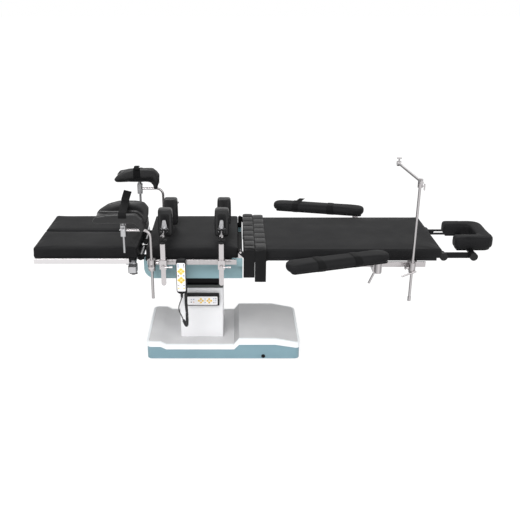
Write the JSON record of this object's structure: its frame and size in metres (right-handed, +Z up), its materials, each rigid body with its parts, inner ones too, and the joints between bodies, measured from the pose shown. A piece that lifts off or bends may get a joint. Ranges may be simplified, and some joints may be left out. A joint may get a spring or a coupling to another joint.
{
  "type": "operating table",
  "caption": "Electro-hydraulic operating table with split leg sections, seat, back and headrest on a telescopic column, with stirrups, side supports, arm boards and a screen frame.",
  "frame": {"origin": "on the floor under the middle of the column", "axes": "+X along the table to the head end, +Y away from the control panel side, +Z up"},
  "size_m": [2.2, 0.9951, 1.0084],
  "materials": {
    "skirt_blue": "satin moulded cover",
    "rim_white": "satin moulded trim",
    "cover_grey": "satin moulded cover",
    "column_white": "powder coated sheet steel",
    "collar_grey": "painted sheet steel",
    "tube_steel": "ground tube",
    "column_black": "semi-matt paint",
    "panel_black": "moulded case",
    "key_white": "membrane keypad",
    "frame_paint": "painted steel plate",
    "arm_black": "semi-matt paint",
    "foot_rubber": "moulded",
    "cylinder_steel": "machined",
    "beam_teal": "painted sheet steel",
    "stainless": "brushed",
    "alloy": "satin",
    "pad_black": "moulded foam with a soft skin",
    "strap_black": "woven webbing",
    "cord_black": "sleeved cord"
  },
  "bodies": {
    "base": {"base_frame": "frame_paint", "base_skirt": "skirt_blue", "base_rim": "rim_white", "base_cover": "cover_grey", "column_cover": "column_white", "column_collar": "collar_grey", "control_panel": "panel_black", "panel_keypad": "key_white", "power_inlet": "panel_black", "floor_feet": "foot_rubber", "hydraulic_unit": "cylinder_steel"},
    "middle_tube": {"mid_column": "tube_steel"},
    "upper_tube": {"top_column": "column_black", "lift_rod": "cylinder_steel"},
    "cradle": {"tilt_cross": "cylinder_steel"},
    "seat": {"seat_beam": "beam_teal", "seat_frame": "frame_paint", "seat_pad": "pad_black", "seat_rails": "stainless", "rail_clamps": "stainless", "pendant_housing": "panel_black", "cord_socket": "panel_black", "pendant_cord_tail": "cord_black", "pendant_cord_coil": "cord_black"},
    "back": {"back_frame": "frame_paint", "back_pad": "pad_black", "back_rails": "stainless", "body_straps": "strap_black", "back_clamps": "stainless"},
    "headrest_arms": {"head_arms": "arm_black"},
    "headrest": {"head_carrier": "arm_black", "head_cushion": "pad_black"},
    "screen_pole": {"screen_post": "stainless"},
    "screen_boom": {"screen_arm": "stainless"},
    "leg_bracket_near": {"leg_bracket_near": "frame_paint"},
    "leg_near": {"leg_frame_near": "frame_paint", "leg_pad_near": "pad_black", "leg_rail_near": "stainless"},
    "stirrup_near": {"stirrup_rod_near": "stainless"},
    "crutch_clamp_near": {"crutch_clamp_near": "stainless"},
    "crutch_near": {"crutch_pad_near": "pad_black"},
    "arm_board_near": {"arm_plate_near": "alloy", "arm_pad_near": "pad_black"},
    "leg_bracket_far": {"leg_bracket_far": "frame_paint"},
    "leg_far": {"leg_frame_far": "frame_paint", "leg_pad_far": "pad_black", "leg_rail_far": "stainless"},
    "stirrup_far": {"stirrup_rod_far": "stainless"},
    "crutch_clamp_far": {"crutch_clamp_far": "stainless"},
    "crutch_far": {"crutch_pad_far": "pad_black"},
    "arm_board_far": {"arm_plate_far": "alloy", "arm_pad_far": "pad_black"},
    "support_near_left": {"support_post_near_left": "stainless"},
    "side_pad_near_left": {"support_pad_near_left": "pad_black"},
    "support_near_right": {"support_post_near_right": "stainless"},
    "side_pad_near_right": {"support_pad_near_right": "pad_black"},
    "support_far_left": {"support_post_far_left": "stainless"},
    "side_pad_far_left": {"support_pad_far_left": "pad_black"},
    "support_far_right": {"support_post_far_right": "stainless"},
    "side_pad_far_right": {"support_pad_far_right": "pad_black"}
  },
  "joints": [
    {"name": "lift_lower", "type": "slide", "parent": "base", "child": "middle_tube", "axis": [0, 0, 1], "range_m": [0, 0.13]},
    {"name": "lift_upper", "type": "slide", "parent": "middle_tube", "child": "upper_tube", "axis": [0, 0, 1], "range_m": [0, 0.13]},
    {"name": "trendelenburg", "type": "hinge", "parent": "upper_tube", "child": "cradle", "pos_m": [0, 0, 0.512], "axis": [0, 1, 0], "range_deg": [-25, 25]},
    {"name": "lateral_tilt", "type": "hinge", "parent": "cradle", "child": "seat", "pos_m": [0, 0, 0.512], "axis": [1, 0, 0], "range_deg": [-15, 15]},
    {"name": "back_section", "type": "hinge", "parent": "seat", "child": "back", "pos_m": [0.192, 0, 0.602], "axis": [0, -1, 0], "range_deg": [-15, 70]},
    {"name": "headrest_reach", "type": "hinge", "parent": "back", "child": "headrest_arms", "pos_m": [1.16, 0, 0.553], "axis": [0, -1, 0], "range_deg": [-40, 40]},
    {"name": "headrest_tilt", "type": "hinge", "parent": "headrest_arms", "child": "headrest", "pos_m": [1.303, 0, 0.553], "axis": [0, -1, 0], "range_deg": [-40, 40]},
    {"name": "leg_drop_near", "type": "hinge", "parent": "seat", "child": "leg_bracket_near", "pos_m": [-0.285, 0, 0.545], "axis": [0, -1, 0], "range_deg": [-15, 90]},
    {"name": "leg_splay_near", "type": "hinge", "parent": "leg_bracket_near", "child": "leg_near", "pos_m": [-0.315, -0.215, 0.56], "axis": [0, 0, 1], "range_deg": [0, 60]},
    {"name": "stirrup_turn_near", "type": "hinge", "parent": "seat", "child": "stirrup_near", "pos_m": [-0.216, -0.31, 0.56], "axis": [0, 0, 1], "range_deg": [-20, 60]},
    {"name": "crutch_tilt_near", "type": "hinge", "parent": "stirrup_near", "child": "crutch_clamp_near", "pos_m": [-0.337, -0.31, 0.73], "axis": [1, 0, 0], "range_deg": [-20, 20]},
    {"name": "crutch_swivel_near", "type": "hinge", "parent": "crutch_clamp_near", "child": "crutch_near", "pos_m": [-0.337, -0.31, 0.78], "axis": [0, 0, 1], "range_deg": [-20, 20]},
    {"name": "arm_board_turn_near", "type": "hinge", "parent": "back", "child": "arm_board_near", "pos_m": [0.82, -0.335, 0.593], "axis": [0, 0, 1], "range_deg": [-10, 90]},
    {"name": "leg_drop_far", "type": "hinge", "parent": "seat", "child": "leg_bracket_far", "pos_m": [-0.285, 0, 0.545], "axis": [0, -1, 0], "range_deg": [-15, 90]},
    {"name": "leg_splay_far", "type": "hinge", "parent": "leg_bracket_far", "child": "leg_far", "pos_m": [-0.315, 0.215, 0.56], "axis": [0, 0, -1], "range_deg": [0, 60]},
    {"name": "stirrup_turn_far", "type": "hinge", "parent": "seat", "child": "stirrup_far", "pos_m": [-0.216, 0.31, 0.56], "axis": [0, 0, -1], "range_deg": [-20, 60]},
    {"name": "crutch_tilt_far", "type": "hinge", "parent": "stirrup_far", "child": "crutch_clamp_far", "pos_m": [-0.337, 0.31, 0.747], "axis": [1, 0, 0], "range_deg": [-20, 20]},
    {"name": "crutch_swivel_far", "type": "hinge", "parent": "crutch_clamp_far", "child": "crutch_far", "pos_m": [-0.337, 0.31, 0.797], "axis": [0, 0, 1], "range_deg": [-20, 20]},
    {"name": "arm_board_turn_far", "type": "hinge", "parent": "back", "child": "arm_board_far", "pos_m": [0.82, 0.352, 0.593], "axis": [0, 0, -1], "range_deg": [-10, 90]},
    {"name": "support_lift_near_left", "type": "slide", "parent": "seat", "child": "support_near_left", "axis": [0, 0, 1], "range_m": [0, 0.08]},
    {"name": "side_pad_tilt_near_left", "type": "hinge", "parent": "support_near_left", "child": "side_pad_near_left", "pos_m": [-0.164, -0.178, 0.692], "axis": [1, 0, 0], "range_deg": [-10, 10]},
    {"name": "support_lift_near_right", "type": "slide", "parent": "seat", "child": "support_near_right", "axis": [0, 0, 1], "range_m": [0, 0.08]},
    {"name": "side_pad_tilt_near_right", "type": "hinge", "parent": "support_near_right", "child": "side_pad_near_right", "pos_m": [0.104, -0.178, 0.692], "axis": [1, 0, 0], "range_deg": [-10, 10]},
    {"name": "support_lift_far_left", "type": "slide", "parent": "seat", "child": "support_far_left", "axis": [0, 0, 1], "range_m": [0, 0.08]},
    {"name": "side_pad_tilt_far_left", "type": "hinge", "parent": "support_far_left", "child": "side_pad_far_left", "pos_m": [-0.153, 0.103, 0.684], "axis": [1, 0, 0], "range_deg": [-10, 10]},
    {"name": "support_lift_far_right", "type": "slide", "parent": "seat", "child": "support_far_right", "axis": [0, 0, 1], "range_m": [0, 0.08]},
    {"name": "side_pad_tilt_far_right", "type": "hinge", "parent": "support_far_right", "child": "side_pad_far_right", "pos_m": [0.112, 0.103, 0.684], "axis": [1, 0, 0], "range_deg": [-10, 10]},
    {"name": "screen_height", "type": "slide", "parent": "back", "child": "screen_pole", "axis": [0, 0, 1], "range_m": [-0.25, 0.12]},
    {"name": "screen_swing", "type": "hinge", "parent": "screen_pole", "child": "screen_boom", "pos_m": [0.982, -0.31, 0.958], "axis": [0, 0, 1], "range_deg": [-90, 90]}
  ],
  "couplings": [
    {"joint": "lift_upper", "follows": "lift_lower", "ratio": 1}
  ]
}
